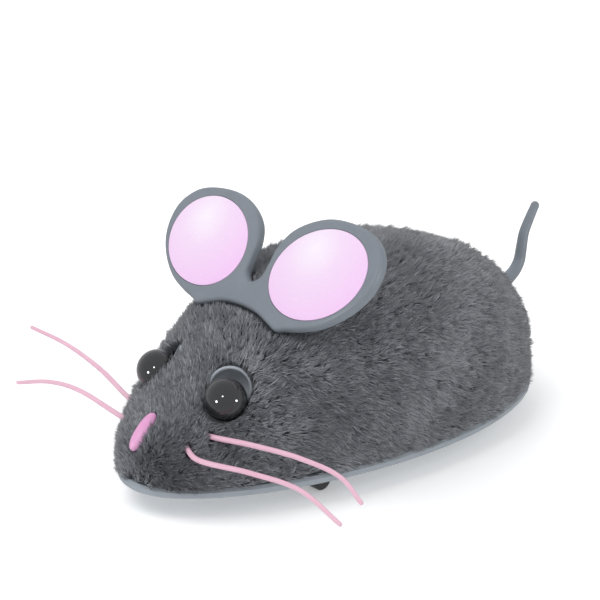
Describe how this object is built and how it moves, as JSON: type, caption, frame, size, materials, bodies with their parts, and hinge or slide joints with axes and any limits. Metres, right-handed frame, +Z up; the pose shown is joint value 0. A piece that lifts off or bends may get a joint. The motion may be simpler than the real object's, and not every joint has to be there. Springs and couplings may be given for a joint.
{
  "type": "clockwork mouse",
  "caption": "Wind-up plush mouse: fur cover over a shell, ear plate, bead eyes, whiskers and tail, on a wheeled base with a coupled clockwork drive.",
  "frame": {"origin": "middle of the object's footprint at floor level, under the wheels", "axes": "+Z up, -Y towards the nose, +X towards the mouse's left side; the winding key is on the -X side"},
  "size_m": [0.0958, 0.1202, 0.0518],
  "materials": {
    "plush_fur": "short dark grey pile, combed back from the nose",
    "grey_plastic": "moulded, satin",
    "pale_grey_plastic": "moulded, satin, slightly blue",
    "pink_satin": "pearly pink, softly shaded",
    "pink_plastic": "moulded pink, soft gloss",
    "black_bead": "polished bead",
    "inner_plastic": "moulded, unfinished",
    "black_plastic": "moulded",
    "black_rubber": "matte",
    "zinc_steel": "zinc plated sheet and rod",
    "spring_steel": "blued strip",
    "brass_gear": "stamped brass",
    "natural_plastic": "natural nylon"
  },
  "bodies": {
    "chassis": {"fur_cover": "plush_fur", "ear_plate": "grey_plastic", "eye_cup_left": "grey_plastic", "eye_cup_right": "grey_plastic", "tail": "grey_plastic", "base_pan": "pale_grey_plastic", "ear_lining_left": "pink_satin", "ear_lining_right": "pink_satin", "nose": "pink_plastic", "whisker_left_upper": "pink_plastic", "whisker_left_lower": "pink_plastic", "whisker_right_upper": "pink_plastic", "whisker_right_lower": "pink_plastic", "eye_left": "black_bead", "eye_right": "black_bead", "body_shell": "inner_plastic", "key_bush": "black_plastic", "motor_plate_left": "zinc_steel", "motor_plate_right": "zinc_steel", "pillar_front_lower": "zinc_steel", "pillar_front_upper": "zinc_steel", "pillar_rear_lower": "zinc_steel", "pillar_rear_upper": "zinc_steel", "base_screw_front": "zinc_steel", "base_screw_rear_left": "zinc_steel", "base_screw_rear_right": "zinc_steel", "motor_screw_front_left": "zinc_steel", "motor_screw_front_right": "zinc_steel", "motor_screw_rear_left": "zinc_steel", "motor_screw_rear_right": "zinc_steel", "mainspring": "spring_steel"},
    "winding": {"winding_key": "zinc_steel", "winding_arbor": "zinc_steel", "great_wheel": "brass_gear", "ratchet_wheel": "zinc_steel", "click": "zinc_steel"},
    "second": {"second_arbor": "zinc_steel", "second_pinion": "zinc_steel", "second_wheel": "natural_plastic"},
    "drive": {"drive_axle": "zinc_steel", "drive_pinion": "zinc_steel", "drive_wheel_left": "black_plastic", "drive_wheel_right": "black_plastic", "tyre_left": "black_rubber", "tyre_right": "black_rubber"},
    "front": {"front_axle": "zinc_steel", "front_wheel_left": "black_plastic", "front_wheel_right": "black_plastic"}
  },
  "joints": [
    {"name": "key_turn", "type": "hinge", "parent": "chassis", "child": "winding", "pos_m": [0.00014, -0.00785, 0.02157], "axis": [1, 0, 0], "continuous": true, "deforming": ["mainspring"]},
    {"name": "second_turn", "type": "hinge", "parent": "chassis", "child": "second", "pos_m": [0.00014, 0.00306, 0.01527], "axis": [1, 0, 0], "continuous": true},
    {"name": "drive_turn", "type": "hinge", "parent": "chassis", "child": "drive", "pos_m": [0.00014, 0.00886, 0.007], "axis": [1, 0, 0], "continuous": true},
    {"name": "front_roll", "type": "hinge", "parent": "chassis", "child": "front", "pos_m": [0.00014, -0.02774, 0.0021], "axis": [1, 0, 0], "continuous": true}
  ],
  "couplings": [
    {"joint": "second_turn", "follows": "key_turn", "ratio": -4},
    {"joint": "drive_turn", "follows": "key_turn", "ratio": 12}
  ]
}
